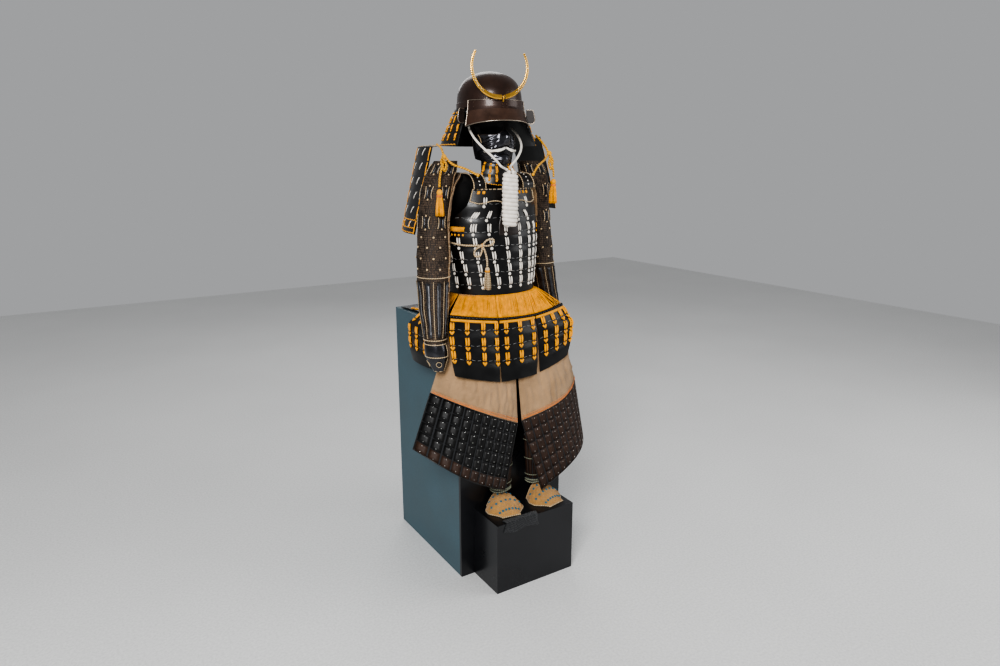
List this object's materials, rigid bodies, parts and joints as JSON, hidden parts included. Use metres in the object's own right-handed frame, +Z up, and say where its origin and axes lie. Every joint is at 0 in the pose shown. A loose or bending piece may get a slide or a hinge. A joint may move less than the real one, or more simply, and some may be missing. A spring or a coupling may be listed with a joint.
{
  "type": "samurai armour on a box plinth",
  "caption": "Full laced samurai armour with crescent-crested helmet, face mask, skirt, sleeves and thigh guards, seated on a two-step box plinth.",
  "frame": {"origin": "centre of the seat box's underside, on the floor", "axes": "+Z up, -Y the front, -X the wearer's right"},
  "size_m": [0.7448, 0.6763, 1.8365],
  "materials": {
    "russet_iron": "russet lacquer on iron, satin",
    "gilt": "gilt, polished",
    "lacquer": "black lacquer on iron and hide, gloss",
    "slate_paint": "slate blue-grey paint, satin",
    "black_paint": "black paint, satin",
    "stand_wood": "plain, matt",
    "dark_iron": "dark iron, polished",
    "white_silk": "braided silk and hair",
    "tan_silk": "braided silk",
    "yellow_silk": "braided silk",
    "dyed_cloth": "dark dyed cloth",
    "mail_on_cloth": "iron mail and splints sewn on cloth",
    "tan_cloth": "creased cotton and hemp",
    "brown_splints": "brown lacquer on iron splints",
    "quilt": "quilted cotton"
  },
  "bodies": {
    "root": {"helmet_bowl": "russet_iron", "brow_plate": "russet_iron", "crest": "gilt", "neck_guard": "lacquer", "turnback_right": "lacquer", "turnback_left": "lacquer", "seat_box": "slate_paint", "seat_front_board": "black_paint", "foot_box": "black_paint", "stand_post": "stand_wood", "stand_yoke": "stand_wood", "stand_head": "stand_wood", "face_mask": "dark_iron", "moustache": "white_silk", "throat_guard": "lacquer", "chin_cord_right": "white_silk", "chin_cord_left": "white_silk", "chin_cord_bundle": "white_silk", "cuirass_front": "lacquer", "cuirass_back": "lacquer", "shoulder_strap_right": "lacquer", "shoulder_strap_left": "lacquer", "waist_cord": "tan_silk", "waist_tassel": "tan_silk", "skirt_cords_front": "yellow_silk", "skirt_front": "lacquer", "skirt_cords_front_right": "yellow_silk", "skirt_front_right": "lacquer", "skirt_cords_front_left": "yellow_silk", "skirt_front_left": "lacquer", "skirt_cords_hip_right": "yellow_silk", "skirt_hip_right": "lacquer", "skirt_cords_hip_left": "yellow_silk", "skirt_hip_left": "lacquer", "skirt_cords_back_right": "yellow_silk", "skirt_back_right": "lacquer", "skirt_cords_back_left": "yellow_silk", "skirt_back_left": "lacquer", "tie_cloth": "dyed_cloth", "sleeve_right": "mail_on_cloth", "hand_guard_right": "dark_iron", "gusset_right": "tan_cloth", "shoulder_guard_right": "lacquer", "guard_cord_right": "yellow_silk", "guard_tassel_right": "yellow_silk", "thigh_plates_right": "lacquer", "thigh_cloth_right": "tan_cloth", "shin_guard_right": "brown_splints", "foot_guard_right": "quilt", "sleeve_left": "mail_on_cloth", "hand_guard_left": "dark_iron", "gusset_left": "tan_cloth", "shoulder_guard_left": "lacquer", "guard_cord_left": "yellow_silk", "guard_tassel_left": "yellow_silk", "thigh_plates_left": "brown_splints", "thigh_cloth_left": "tan_cloth", "shin_guard_left": "brown_splints", "foot_guard_left": "quilt"}
  },
  "joints": []
}
